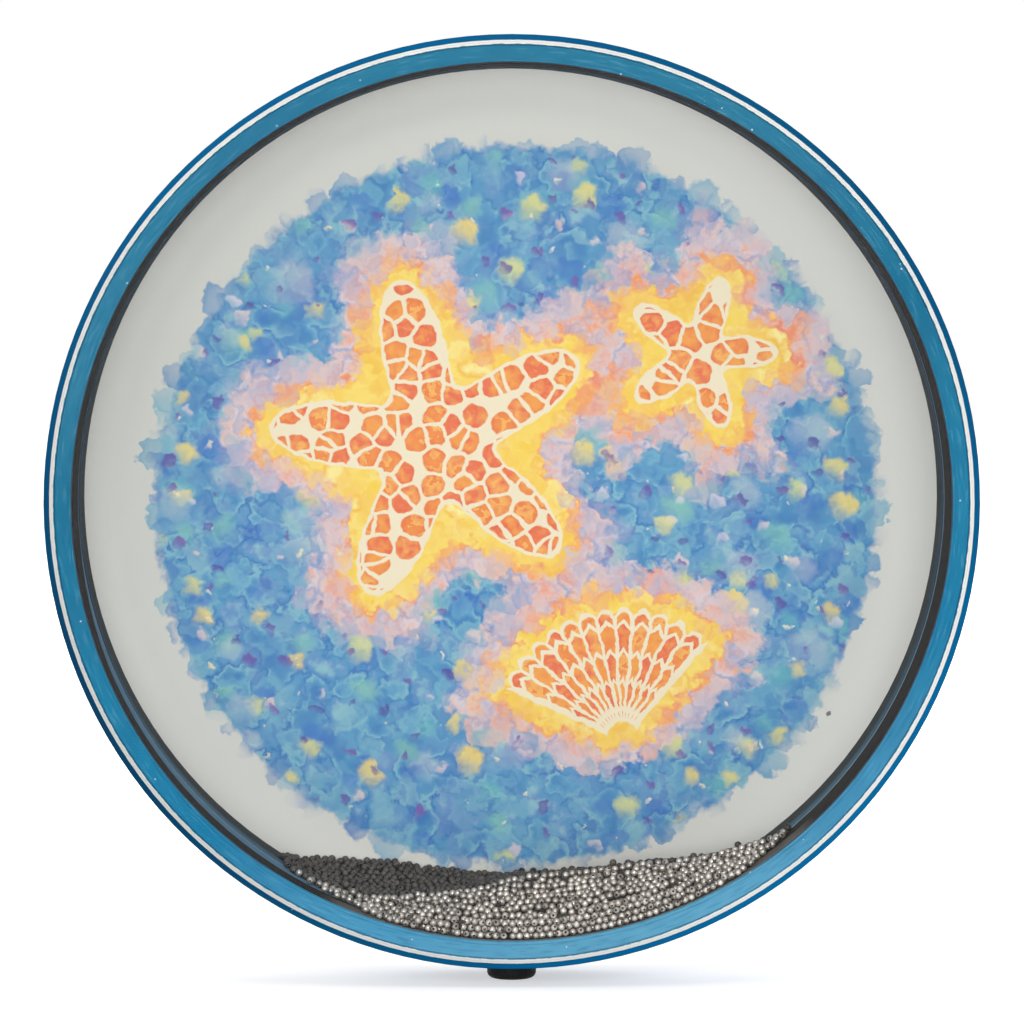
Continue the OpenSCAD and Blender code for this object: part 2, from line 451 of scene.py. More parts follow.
def sea_colours(board, glow, tone):
    """Blue out at sea, then mauve, orange and yellow towards a motif, for a pick from 0 to 1."""
    shade = board.ramp(tone, BLUES)
    shade = board.mix(board.step(glow, 0.02, 0.24), shade, board.ramp(tone, MAUVES))
    shade = board.mix(board.step(glow, 0.5, 0.62), shade, board.ramp(tone, ORANGES))
    return board.mix(board.step(glow, 0.64, 0.76), shade, board.ramp(tone, YELLOWS))


def dabs_group(zones):
    """One layer of watercolour dabs over what is under it, each fading to one side."""
    board, start, end = new_group(
        "dabs", [POINT, UNDER, ("Width", "value"), ("Shift", "vector"), ("Body", "value"),
                 ("Thin", "value"), ("Share", "value")], COLOUR_OUT)
    moved = board.vector("ADD", start["Point"], start["Shift"])
    cells = board.cells(moved, board.maths("DIVIDE", 1.0, start["Width"]))
    pick, tone, extra = board.channels(cells["Color"])
    size = board.line(extra, 0.24, 0.38)
    gap = board.less(cells["Distance"], size)
    inside = board.step(gap, 0.05, -0.1)
    rim = board.times(board.step(gap, -0.24, -0.06), inside)
    at = board.group(zones, Point=board.vector("SUBTRACT", cells["Position"], start["Shift"]))
    glow = board.maths("ADD", at["Glow"], board.line(pick, 0.3, -0.15))
    shade = sea_colours(board, glow, tone)
    ox, oy, _ = board.split(board.vector("SUBTRACT", moved, cells["Position"]))
    turn = board.times(board.maths("ADD", pick, extra), 9.0)
    lean = board.maths("ADD", board.times(ox, board.maths("COSINE", turn)),
                       board.times(oy, board.maths("SINE", turn)))
    fade = board.step(board.maths("DIVIDE", lean, start["Width"]), -0.4, 0.45, start["Thin"], 1.0)
    body = board.times(fade, board.line(rim, 0.14, start["Body"]))
    shown = board.times(inside, board.maths("LESS_THAN", pick, start["Share"]))
    shown = board.times(shown, at["Field"])
    board.put(board.mix(board.maths("MULTIPLY", shown, body, clamp=True), start["Under"], shade),
              end["Colour"])
    return board.tree


def touches_group():
    """Scattered round touches of one pair of colours, soft or crisp, where Where allows them."""
    board, start, end = new_group(
        "touches", [POINT, UNDER, ("Where", "value"), ("Width", "value"), ("Shift", "vector"),
                    ("Share", "value"), ("Size", "value"), ("Soft", "value"), ("Body", "value"),
                    ("First", "colour"), ("Second", "colour")], COLOUR_OUT)
    moved = board.vector("ADD", start["Point"], start["Shift"])
    cells = board.cells(moved, board.maths("DIVIDE", 1.0, start["Width"]))
    pick, tone, extra = board.channels(cells["Color"])
    size = board.times(start["Size"], board.line(extra, 0.8, 0.6))
    gap = board.maths("DIVIDE", board.less(cells["Distance"], size), start["Soft"])
    inside = board.step(gap, 0.5, -0.5)
    ox, oy, _ = board.split(board.vector("SUBTRACT", moved, cells["Position"]))
    lean = board.maths("DIVIDE", board.line(ox, 0.6, oy), start["Width"])
    fade = board.step(board.maths("DIVIDE", lean, start["Size"]), -1.3, 0.9, 0.35, 1.0)
    shown = board.times(board.maths("LESS_THAN", pick, start["Share"]), start["Where"])
    body = board.times(board.times(inside, fade), start["Body"])
    shade = board.mix(tone, start["First"], start["Second"])
    board.put(board.mix(board.times(shown, body), start["Under"], shade), end["Colour"])
    return board.tree


def stone_mask(board, point, stones):
    """1 on a rounded stone, 0 in the lines between stones."""
    gaps = board.add("ShaderNodeTexVoronoi", voronoi_dimensions="2D", feature="DISTANCE_TO_EDGE")
    board.put(point, gaps.inputs["Vector"])
    board.put(1 / STONE_WIDTH, gaps.inputs["Scale"])
    return board.times(board.step(gaps.outputs["Distance"], 0.06, 0.11),
                       board.step(stones["Distance"], 0.6, 0.53))


def motifs_group(star, fan):
    """The starfish and the scallop: orange and coral stones with cream lines between them."""
    board, start, end = new_group("motifs", [POINT, UNDER], COLOUR_OUT)
    point = start["Point"]
    large = board.group(star, Point=point, **LARGE_STAR)
    small = board.group(star, Point=point, **SMALL_STAR)
    shell = board.group(fan, Point=point)
    stones = board.cells(point, 1 / STONE_WIDTH)
    stone = stone_mask(board, point, stones)
    deep = board.step(stones["Distance"], 0.25, 0.54)
    pick, _, _ = board.channels(stones["Color"])
    pool = board.noise(point, 0.22, 3.0, dimensions="2D")
    tone = board.maths("FRACT", board.line(pool, 0.8, pick))
    shade = board.tint(board.ramp(tone, CORALS), deep, 0.38, colour(222, 96, 66))
    stars = board.maths("MAXIMUM", large["Mask"], small["Mask"])
    around = board.maths("MAXIMUM", large["Line"], small["Line"])
    around = board.maths("MAXIMUM", around, shell["Line"])
    tone = board.maths("FRACT", board.line(pool, 0.7, shell["Pick"]))
    ribbed = board.ramp(tone, CORALS)
    laid = board.tint(start["Under"], around, 0.92, CREAM)
    laid = board.tint(laid, stars, stone, shade)
    ribs = board.less(1.0, shell["Groove"])
    board.put(board.tint(laid, shell["Mask"], ribs, ribbed), end["Colour"])
    return board.tree


# Layers of dabs: width of a cell, shift, body, body on the thin side, share shown
DABS = ((13.0, (0, 0, 0), 0.75, 0.6, 1.1), (11.0, (71, 13, 0), 0.55, 0.1, 0.9),
        (8.0, (17, -91, 0), 0.5, 0.0, 0.75))

# Touches over the sea: width of a cell, shift, share shown, size, softness, body, two colours
TOUCHES = ((22.0, (9, 40, 0), 0.6, 0.24, 0.1, 0.55, (46, 98, 182), (66, 116, 196)),
           (27.0, (-31, 6, 0), 0.6, 0.2, 0.22, 0.6, (100, 186, 192), (140, 200, 172)),
           (24.0, (4, -73, 0), 0.6, 0.19, 0.16, 0.8, (212, 218, 140), (246, 214, 104)),
           (29.0, (77, -41, 0), 0.6, 0.25, 0.16, 0.42, (184, 200, 208), (208, 208, 204)),
           (18.0, (55, 21, 0), 0.4, 0.13, 0.1, 0.7, (222, 214, 222), (238, 206, 190)),
           (15.0, (-12, -9, 0), 0.5, 0.14, 0.07, 0.8, (78, 68, 152), (122, 84, 166)),
           (13.0, (33, 87, 0), 0.3, 0.07, 0.05, 0.7, (240, 236, 218), (246, 226, 160)))


def add_dabs(board, dabs, loose, shade):
    """The three layers of dabs."""
    for width, shift, body, thin, share in DABS:
        shade = board.group(dabs, Point=loose, Under=shade, Width=width, Shift=shift, Body=body,
                            Thin=thin, Share=share)["Colour"]
    return shade


def add_touches(board, touches, loose, sea, shade):
    """The scattered touches, over the open sea only."""
    for width, shift, share, size, soft, body, first, second in TOUCHES:
        shade = board.group(touches, Point=loose, Under=shade, Where=sea, Width=width, Shift=shift,
                            Share=share, Size=size, Soft=soft, Body=body, First=colour(*first),
                            Second=colour(*second))["Colour"]
    return shade


def add_strokes(board, point, glow, shade):
    """Thin coral brush strokes that wander where the glow begins."""
    ridge = board.apart(board.noise(point, 0.1, 5.0, dimensions="2D"), 0.5)
    stroke = board.times(board.step(ridge, 0.05, 0.0),
                         board.step(board.apart(glow, 0.5), 0.2, 0.05))
    return board.tint(shade, stroke, 0.32, colour(226, 130, 108))


def print_group():
    """The whole printed design, from the first wash to the motifs."""
    star = star_group()
    fan = fan_group()
    zones = zones_group(star, fan)
    board, start, end = new_group("sea_print", [POINT, ("Film", "colour")], COLOUR_OUT)
    point = start["Point"]
    wander = board.noise(point, 0.16, 4.0, out=1, dimensions="2D")
    wander = board.vector("SUBTRACT", wander, (0.5, 0.5, 0.5))
    loose = board.vector("ADD", point, board.scaled(wander, 8.0))
    at = board.group(zones, Point=board.vector("ADD", point, board.scaled(wander, 20.0)))
    pool = board.noise(point, 0.06, 4.0, dimensions="2D")
    away = board.vector("DISTANCE", loose, FIELD_CENTRE, out="Value")
    wash = sea_colours(board, at["Glow"], board.step(pool, 0.3, 0.72))
    shade = board.mix(board.step(away, FIELD_R - 1.0, FIELD_R - 5.0), start["Film"], wash)
    shade = add_dabs(board, dabs_group(zones), loose, shade)
    sea = board.times(board.step(at["Glow"], 0.3, 0.1),
                      board.step(away, FIELD_R - 3.0, FIELD_R - 6.0))
    shade = add_touches(board, touches_group(), loose, sea, shade)
    shade = add_strokes(board, point, at["Glow"], shade)
    soft = board.vector("ADD", point, board.scaled(wander, 3.0))
    shade = board.group(motifs_group(star, fan), Point=soft, Under=shade)["Colour"]
    fleck = board.vector("DISTANCE", board.vector("MULTIPLY", loose, (1.0, 0.75, 1.0)), FLECK,
                         out="Value")
    fleck = board.step(fleck, 1.3, 0.9, 0.0, 0.8)
    board.put(board.mix(fleck, shade, colour(70, 72, 74)), end["Colour"])
    return board.tree


# Materials


def surface(board, shader, tone, rough, relief, gloss):
    """Sets tone, roughness (mask, low, high), relief (height, strength, depth) and gloss."""
    mask, low, high = rough
    board.put(tone, shader["Base Color"])
    board.put(board.step(mask, 0.3, 0.7, low, high), shader["Roughness"])
    board.put(board.bump(*relief), shader["Normal"])
    board.put(gloss, shader["Specular IOR Level"])


def ply_edge(board, shared, place, ring, streak):
    """Teal paint on the ply's edge: streaks, one line of ply, a brown border above and dust."""
    _, _, z = board.split(place)
    tone = board.group(shared["teal"], Place=place)["Colour"]
    tone = board.tint(tone, board.step(streak["Streak"], 0.5, 0.7), 0.32, colour(22, 92, 126))
    tone = board.tint(tone, board.step(streak["Streak"], 0.46, 0.3), 0.18, colour(120, 180, 204))
    tone = board.mix(board.step(streak["Drift"], 0.5, 0.68, 0.0, 0.22), tone, colour(10, 92, 132))
    line = board.step(board.apart(ring["Radius"], PLY_LINE_R), 0.28 * MM, 0.1 * MM)
    tone = board.tint(tone, line, 0.35, colour(26, 80, 110))
    border = board.step(ring["Radius"], SHELL_IN_R + 0.7 * MM, SHELL_IN_R + 0.3 * MM)
    border = board.times(border, board.step(z, -0.168, -0.15))
    tone = board.tint(tone, border, 0.75, colour(78, 62, 58))
    specks = board.group(shared["dust"], Place=place, Spacing=0.0045, Share=0.5)["Speck"]
    return board.tint(tone, specks, 0.7, colour(230, 238, 240))


def shell_finish(shared):
    """Teal ply: streaked and dusty on its front edge, blue-grey on the inner wall."""
    made, board, shader = new_material("teal_ply")
    place = board.place()
    _, y, _ = board.split(place)
    ring = board.group(shared["ring"], Place=place)
    streak = board.group(shared["streaks"], Along=ring["Along"], Fineness=900.0)
    tone = ply_edge(board, shared, place, ring, streak)
    wall = board.mix(streak["Drift"], colour(112, 142, 160), colour(140, 170, 186))
    inner = board.times(board.step(ring["Radius"], SHELL_IN_R + 0.15 * MM, SHELL_IN_R + 0.05 * MM),
                        board.step(y, FRONT_Y + 1.0 * MM, FRONT_Y + 1.3 * MM))
    surface(board, shader, board.mix(inner, tone, wall), (streak["Streak"], 0.42, 0.6),
            (streak["Streak"], 0.2, 0.0002), 0.07)
    return made


def wrap_finish(shared):
    """Dark blue satin covering with a light orange-peel, a little dust and painted light and shade
    round the rim.
    """
    made, board, shader = new_material("blue_covering")
    place = board.place()
    grain = board.group(shared["grain"], Place=place, Fineness=700.0)
    tone = board.mix(grain["Cloud"], colour(0, 78, 122), colour(0, 90, 136))
    # Painted light and shade: the tone is made brighter or darker round the rim, as the lamps fall
    # on it.
    light = board.group(shared["sides"], Place=place, Wave=0.32, Right=0.22, Top=0.0)["Light"]
    specks = board.group(shared["dust"], Place=place, Spacing=0.011, Share=0.4)["Speck"]
    tone = board.tint(board.scaled(tone, light), specks, 0.35, colour(200, 220, 232))
    surface(board, shader, tone, (grain["Cloud"], 0.38, 0.52), (grain["Grain"], 0.12, 0.0002), 0.4)
    shader["IOR"].default_value = 1.1
    return made


def hoop_finish(shared):
    """White moulded hoop with painted light and shade round the rim, a fine grey line round its
    edge and a ragged lip of teal paint inside.
    """
    made, board, shader = new_material("white_hoop")
    place = board.place()
    ring = board.group(shared["ring"], Place=place)
    grain = board.group(shared["grain"], Place=place, Fineness=500.0)
    tone = board.mix(grain["Cloud"], colour(211, 211, 207), colour(222, 223, 220))
    # Painted light and shade: the tone is made brighter or darker round the rim, as the lamps fall
    # on it.
    light = board.group(shared["sides"], Place=place, Wave=0.07, Right=0.13, Top=0.04)["Light"]
    middle = board.apart(ring["Radius"], (HOOP_IN_R + SHELL_R) / 2)
    tone = board.tint(board.scaled(tone, light), board.step(middle, 0.2 * MM, 0.05 * MM), 0.35,
                      colour(140, 150, 158))
    ragged = board.line(board.noise(place, 420.0, 3.0), 1.2 * MM, HOOP_IN_R - 0.5 * MM)
    paint = board.step(board.less(ring["Radius"], ragged), 0.06 * MM, -0.06 * MM)
    tone = board.tint(tone, paint, 0.85, board.group(shared["teal"], Place=place)["Colour"])
    surface(board, shader, tone, (grain["Grain"], 0.3, 0.45), (grain["Grain"], 0.08, 0.0001), 0.2)
    return made


def lining_finish(name, low, high, shared):
    """Dark fibrous strip, bluer along the edge that faces the middle of the shell, with painted
    light at the bottom of its front edge.
    """
    made, board, shader = new_material(name)
    place = board.place()
    _, y, z = board.split(place)
    grain = board.group(shared["grain"], Place=place, Fineness=2600.0)
    tone = board.tint(board.mix(grain["Grain"], low, high), grain["Cloud"], 0.4, high)
    # Blue-grey over the front part of the rear lining, paler towards the bottom of the drum.
    rear = board.step(y, BETWEEN_LININGS, BETWEEN_LININGS + 0.2 * MM)
    bloom = board.times(board.step(y, -0.016, -0.028), rear)
    blue_paler_low = board.mix(board.step(z, -0.05, -0.13), colour(52, 82, 106), colour(84, 124, 146))
    tone = board.tint(tone, bloom, 0.8, blue_paler_low)
    # Blue-grey over the part of the front lining nearest the middle of the shell, towards the lower
    # left only.
    corner = board.vector("DOT_PRODUCT", place, (-3.72, 0.0, -3.72), out="Value")
    edge = board.line(board.step(corner, 0.74, 0.95), -12.5 * MM, -34.6 * MM)
    lower_left_blue = board.step(board.less(y, edge), -0.3 * MM, 0.5 * MM)
    lower_left_blue = board.times(lower_left_blue, board.maths("LESS_THAN", y, BETWEEN_LININGS))
    tone = board.tint(tone, lower_left_blue, 0.85, colour(106, 146, 174))
    # Painted light: the lining's front edge at the bottom, seen in the beads' shade, is made paler.
    low = board.vector("DOT_PRODUCT", place, (0.156, 0.0, -0.988), out="Value")
    painted_light_under_beads = board.times(board.step(low, 0.155, 0.163), board.maths("LESS_THAN", y, -50 * MM))
    tone = board.tint(tone, painted_light_under_beads, 0.8, colour(112, 109, 104))
    surface(board, shader, tone, (grain["Grain"], 0.7, 0.9), (grain["Grain"], 0.3, 0.0002), 0.1)
    return made


def rubber_finish(shared):
    """Matt black rubber with a dry bloom."""
    made, board, shader = new_material("black_rubber")
    grain = board.group(shared["grain"], Place=board.place(), Fineness=900.0)
    tone = board.mix(grain["Cloud"], colour(8, 8, 9), colour(20, 21, 22))
    surface(board, shader, tone, (grain["Grain"], 0.5, 0.7), (grain["Grain"], 0.2, 0.0002), 0.2)
    return made


def clear_finish():
    """Clear film: almost nothing straight on, a sheen at a glancing angle."""
    made, board, shader = new_material("clear_film")
    facing = board.add("ShaderNodeLayerWeight")
    facing.inputs["Blend"].default_value = 0.5
    glance = board.maths("POWER", facing.outputs["Facing"], 3.0)
    haze = board.noise(board.place(), 30.0, 3.0)
    shader["Base Color"].default_value = colour(236, 242, 246)
    shader["IOR"].default_value = 1.5
    board.put(board.step(haze, 0.3, 0.7, 0.03, 0.07), shader["Roughness"])
    board.put(board.line(glance, 0.22, 0.004), shader["Alpha"])
    return made


def plain_film(board, point, cloud):
    """White film with painted light: paler towards its rim, against the shade of the shell wall,
    and palest along the rim at its upper left.
    """
    film = board.mix(cloud, colour(202, 203, 196), colour(207, 208, 201))
    away = board.vector("LENGTH", point, out="Value")
    # Painted light: the film is lightened towards its rim, where the shell wall shades it.
    film = board.mix(board.step(away, 150.0, 186.0), film, colour(224, 225, 219))
    # Painted light: palest along the rim at the upper left.
    upper = board.vector("DOT_PRODUCT", point, (-0.0034, 0.004, 0.0), out="Value")
    paler = board.times(board.step(away, 173.0, 190.0), board.step(upper, -0.6, 1.1))
    return board.mix(paler, film, colour(253, 254, 248))


def printed_finish(shared):
    """White film, printed on the side that faces the beads; the print ghosts through behind."""
    made, board, shader = new_material("printed_film")
    place = board.place()
    x, y, z = board.split(place)
    point = board.scaled(board.join(x, z, 0.0), 1 / MM)
    cloud = board.noise(place, 14.0, 3.0)
    film = plain_film(board, point, cloud)
    painted = board.group(shared["print"], Point=point, Film=film)["Colour"]
    ghost = board.mix(0.86, painted, colour(228, 229, 225))
    behind = board.step(y, -0.2 * MM, -0.1 * MM)
    grain = board.noise(place, 900.0, 2.0)
    surface(board, shader, board.mix(behind, painted, ghost), (cloud, 0.42, 0.55),
            (grain, 0.05, 0.0001), 0.15)
    return made


def bead_finish():
    """Nickel-plated steel, bright in front; beads further back get painted shade, a darker and
    rougher copy of the steel; no two beads quite alike.
    """
    made, board, shader = new_material("steel_bead")
    tone = board.add("ShaderNodeAttribute", attribute_name="tone").outputs["Fac"]
    # This attribute marks beads behind the crest, which get painted shade.
    back = board.add("ShaderNodeAttribute", attribute_name="back").outputs["Fac"]
    bright = board.mix(tone, colour(152, 147, 140), colour(204, 199, 191))
    # Painted shade: beads behind the crest get this darker tone, rougher and less metallic, for the
    # shade deep in the drum.
    shaded_steel_tone = board.mix(tone, colour(67, 63, 60), colour(92, 87, 82))
    board.put(board.mix(back, bright, shaded_steel_tone), shader["Base Color"])
    board.put(board.step(back, 0.0, 1.0, 0.6, 0.25), shader["Metallic"])
    board.put(board.step(back, 0.0, 1.0, 0.29, 0.65), shader["Roughness"])
    return made


def core_finish():
    """The inside of the heap, seen only between beads, in a dark grey that paints the shade there.
    """
    made, board, shader = new_material("bead_core")
    grain = board.noise(board.place(), 500.0, 2.0)
    # Painted shade: the buried beads are given a dark grey for the shade between the beads on top.
    board.put(board.mix(grain, colour(60, 58, 55), colour(92, 88, 83)), shader["Base Color"])
    shader["Roughness"].default_value = 0.7
    shader["Metallic"].default_value = 0.3
    board.put(board.bump(grain, 0.8, 0.001), shader["Normal"])
    return made


# The heap of beads


def along(line, x):
    """Height of a line of (x, z) points at x, in metres."""
    x /= MM
    if x <= line[0][0]:
        return line[0][1] * MM
    for (x0, z0), (x1, z1) in zip(line, line[1:]):
        if x <= x1:
            return (z0 + (z1 - z0) * (x - x0) / (x1 - x0)) * MM
    return line[-1][1] * MM


def heap_top(x, depth):
    """Height of the heap's top at x, this far behind the clear head's inner side."""
    crest = along(CREST_LINE, x)
    if depth < CREST_DEPTH:
        film = along(FILM_LINE, x)
        fuller = min(max((x + 0.05) / 0.03, -1.0), 0.0)
        return film + (crest - film) * (depth / CREST_DEPTH) ** (0.9 + 0.55 * fuller)
    share = min((depth - CREST_DEPTH) / (REAR_DEPTH - CREST_DEPTH), 1.0)
    return crest + (along(REAR_LINE, x) - crest) * share


def wall_z(x):
    """Height of the bottom of the round wall at x."""
    return -math.sqrt(HEAP_R * HEAP_R - x * x)


# The loose beads in six pieces: the body each rides on, and the CAD node it stands for
PILE_PARTS = {"front_film": ("front_heap", "front_beads"),
              "front_top": ("front_heap", "front_top_beads"),
              "middle_top": ("middle_heap", "middle_beads"),
              "rear_top": ("rear_heap", "rear_beads"),
              "middle_front": ("middle_heap", "middle_beads"),
              "rear_front": ("rear_heap", "rear_beads")}
TOP_PARTS = ("front_top", "middle_top", "rear_top")
FRONT_PARTS = ("middle_front", "rear_front")

# Layers and rows against the clear head and beads left and right of the bottom, rows on a top and
# on a front, tries to fill a top, depths of its two layers, and the cell used to find beads near by
FILM_LAYERS = 2
FILM_ROWS = 9
FILM_REACH = (-40, 60)
TOP_ROWS = 8
FRONT_ROWS = 14
FILL_TRIES = 6000
TOP_SINKS = (0.0, 2.1 * MM)
CELL = 0.004

# The cores: depth under the top, distance from the front, columns and rows
CORE_SINKS = {"front_heap": 4.2 * MM, "middle_heap": 3.2 * MM, "rear_heap": 3.2 * MM}
CORE_INSETS = {"front_heap": PITCH * 1.7, "middle_heap": BEAD_R, "rear_heap": BEAD_R}
CORE_COLUMNS = 72
CORE_ROWS = 8


def front_of(part):
    return SLICE_FRONTS[PILE_PARTS[part][0]]


class Pile:
    """Bead centres so far, kept so that no two beads share a place."""

    def __init__(self):
        self.cells = {}
        self.beads = {name: [] for name in PILE_PARTS}

    def key(self, centre):
        return tuple(math.floor(value / CELL) for value in centre)

    def free(self, centre, gap):
        """Whether no bead in this cell or those round it is nearer than the gap."""
        near = itertools.product(*((n - 1, n, n + 1) for n in self.key(centre)))
        others = (other for cell in near for other in self.cells.get(cell, ()))
        return all((other - centre).length >= gap for other in others)

    def lay(self, part, centre, gap):
        """Adds a bead if its place is free, kept inside the wall and its part of the heap."""
        radius = math.hypot(centre.x, centre.z)
        limit = HEAP_R - BEAD_R
        if radius > limit:
            centre.x *= limit / radius
            centre.z *= limit / radius
        front = front_of(part)
        centre.y = min(max(centre.y, front + BEAD_R), front + SLICE_LEN - BEAD_R)
        if self.free(centre, gap):
            self.cells.setdefault(self.key(centre), []).append(centre)
            self.beads[part].append(centre)


def lay_film_layers(pile, dice):
    """Curved rows against the clear head, following the wall, and the rows just behind them."""
    outer = HEAP_R - BEAD_R
    turn = PITCH / (outer - 3 * ROW_STEP)
    places = itertools.product(range(FILM_LAYERS), range(FILM_ROWS), range(*FILM_REACH))
    for layer, row, number in places:
        y = HEAP_FRONT + BEAD_R + layer * ROW_STEP
        shift = ((row + layer) % 2) * 0.5
        angle = (number + shift + dice.uniform(-0.12, 0.12)) * turn
        radius = outer - (row + (dice.uniform(-0.08, 0.08) if row else 0)) * ROW_STEP
        x = radius * math.sin(angle)
        z = -radius * math.cos(angle)
        top = heap_top(x, 0.0) + layer * 2.2 * MM
        over = z + BEAD_R > top + 0.4 * MM + dice.uniform(-0.6, 0.6) * MM
        if not over and not (row > 0 and dice.random() < MISSING):
            pile.lay("front_film", Vector((x, y, z)), FILM_GAP)


def on_top(part, x, y, sink, dice):
    """A bead's centre on the heap's top, or None where the heap is too thin for one."""
    depth = y - HEAP_FRONT
    z = heap_top(x, depth) - BEAD_R - sink + dice.uniform(-LOOSE_TOP, LOOSE_TOP)
    if sink == 0:
        crest = part == "front_top" and depth > CREST_FROM
        if dice.random() < (PROUD_ON_CREST if crest else PROUD):
            z += dice.uniform(*PROUD_BY)
    if z < wall_z(x) + BEAD_R * 0.4:
        return None
    return Vector((x, y, z))


def rise_at(x, y):
    """How steeply the heap's top climbs to the right."""
    near, far = x - 3 * MM, x + 3 * MM
    return (heap_top(far, y - FRONT_Y) - heap_top(near, y - FRONT_Y)) / (6 * MM)


def lay_top_rows(pile, dice, part, sink):
    """Staggered rows of beads over the top of a part of the heap."""
    for row in range(TOP_ROWS):
        y = front_of(part) + BEAD_R + (SLICE_LEN - 2 * BEAD_R) * row / (TOP_ROWS - 1)
        x = HEAP_ENDS[0] + (row % 2) * PITCH / 2 + dice.uniform(0, PITCH)
        while x < HEAP_ENDS[1]:
            shift = dice.uniform(-LOOSE_ROW, LOOSE_ROW)
            back = dice.uniform(-LOOSE_ROW, LOOSE_ROW)
            centre = on_top(part, x + shift, y + back, sink, dice)
            if centre:
                pile.lay(part, centre, TOP_GAP)
            x += PITCH * 0.98 / math.sqrt(1 + rise_at(x, y) ** 2)


def lay_top_fill(pile, dice, part, sink):
    """Further beads wherever the rows have left room for one."""
    front = front_of(part)
    for _ in range(FILL_TRIES):
        y = dice.uniform(front + BEAD_R, front + SLICE_LEN - BEAD_R)
        centre = on_top(part, dice.uniform(*HEAP_ENDS), y, sink, dice)
        if centre:
            pile.lay(part, centre, TOP_GAP)


def lay_front(pile, dice, part):
    """Level rows on the front of a part of the heap, seen when the part before it has gone."""
    y = front_of(part) + BEAD_R
    for row in range(FRONT_ROWS):
        z = BEAD_R - HEAP_R + row * ROW_STEP
        x = HEAP_ENDS[0] + (row % 2) * PITCH / 2
        while x < HEAP_ENDS[1]:
            shift = dice.uniform(-LOOSE_FRONT, LOOSE_FRONT)
            centre = Vector((x + shift, y, z + dice.uniform(-LOOSE_FRONT, LOOSE_FRONT)))
            under = centre.z + BEAD_R < heap_top(centre.x, y - HEAP_FRONT)
            if under and math.hypot(centre.x, centre.z) < HEAP_R - BEAD_R * 0.9:
                pile.lay(part, centre, FRONT_GAP)
            x += PITCH


def to_mesh(name, bm):
    """Turns a finished bmesh into a mesh."""
    mesh = bpy.data.meshes.new(name)
    bm.to_mesh(mesh)
    bm.free()
    return mesh


def show(name, data):
    """Puts a piece, a lamp or the camera in the scene."""
    piece = bpy.data.objects.new(name, data)
    bpy.context.scene.collection.objects.link(piece)
    return piece


def bead_shape():
    """One steel bead with its hole, spun from half its outline."""
    bm = bmesh.new()
    lip = math.asin(BEAD_HOLE_R / BEAD_R)
    outline = []
    for number in range(BEAD_OUTLINE_STEPS + 1):
        angle = lip + (math.pi - 2 * lip) * number / BEAD_OUTLINE_STEPS
        outline.append(bm.verts.new((BEAD_R * math.sin(angle), 0, BEAD_R * math.cos(angle))))
    edges = [bm.edges.new(pair) for pair in zip(outline, outline[1:] + outline[:1])]
    bmesh.ops.spin(bm, geom=outline + edges, axis=(0, 0, 1), cent=(0, 0, 0), angle=2 * math.pi,
                   steps=BEAD_SPIN_STEPS, use_merge=True)
    bmesh.ops.recalc_face_normals(bm, faces=bm.faces)
    for edge in bm.edges:
        on_lip = all(math.hypot(v.co.x, v.co.y) < BEAD_HOLE_R * 1.05 for v in edge.verts)
        level = abs(edge.verts[0].co.z - edge.verts[1].co.z) < 1e-6
        edge.smooth = not (on_lip and level)
    for face in bm.faces:
        face.smooth = True
    return to_mesh("bead", bm)


def bead_turn(centre, dice):
    """How one bead lies: in the front layer some show their hole, the others lie anyhow."""
    if centre.y < HEAP_FRONT + 2 * BEAD_R and dice.random() < HOLE_FORWARD:
        tilt = Euler((math.pi / 2 + dice.uniform(-0.5, 0.5), 0, dice.uniform(-0.5, 0.5)))
        return tilt.to_matrix().to_4x4()
    return Euler([dice.uniform(0, 2 * math.pi) for _ in range(3)]).to_matrix().to_4x4()


def bead_piece(name, centres, pattern, dice):
    """All these beads as one piece, each turned its own way and with its own tone."""
    bm = bmesh.new()
    tones, painted_shade_marks = [], []
    for centre in centres:
        one = pattern.copy()
        one.transform(Matrix.Translation(centre) @ bead_turn(centre, dice))
        bm.from_mesh(one)
        bpy.data.meshes.remove(one)
        tones += [dice.random()] * len(pattern.vertices)
        # Beads behind the crest are marked for painted shade in their finish.
        back = centre.y - HEAP_FRONT > CREST_DEPTH + dice.uniform(-1.0, 1.0) * MM
        painted_shade_marks += [float(back)] * len(pattern.vertices)
    mesh = to_mesh(name, bm)
    mesh.attributes.new("tone", "FLOAT", "POINT").data.foreach_set("value", tones)
    mesh.attributes.new("back", "FLOAT", "POINT").data.foreach_set("value", painted_shade_marks)
    return show(name, mesh)


def core_piece(name, body):
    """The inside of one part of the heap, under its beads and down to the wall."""
    inset = CORE_INSETS[body]
    bm = bmesh.new()
    bmesh.ops.create_grid(bm, x_segments=CORE_COLUMNS, y_segments=CORE_ROWS, size=0.5)
    for vert in bm.verts:
        x = HEAP_ENDS[0] + (vert.co.x + 0.5) * (HEAP_ENDS[1] - HEAP_ENDS[0])
        y = SLICE_FRONTS[body] + inset + (vert.co.y + 0.5) * (SLICE_LEN - inset - 0.2 * MM)
        vert.co = (x, y, heap_top(x, y - HEAP_FRONT) - CORE_SINKS[body])
    lower_left_blue = [vert for vert in bm.verts if vert.co.z < wall_z(vert.co.x) + 0.1 * MM]
    bmesh.ops.delete(bm, geom=lower_left_blue, context="VERTS")
    sides = bmesh.ops.extrude_face_region(bm, geom=bm.faces[:])
    for item in sides["geom"]:
        if isinstance(item, bmesh.types.BMVert):
            item.co.z = wall_z(item.co.x)
    bmesh.ops.recalc_face_normals(bm, faces=bm.faces)
    return show(name, to_mesh(name, bm))


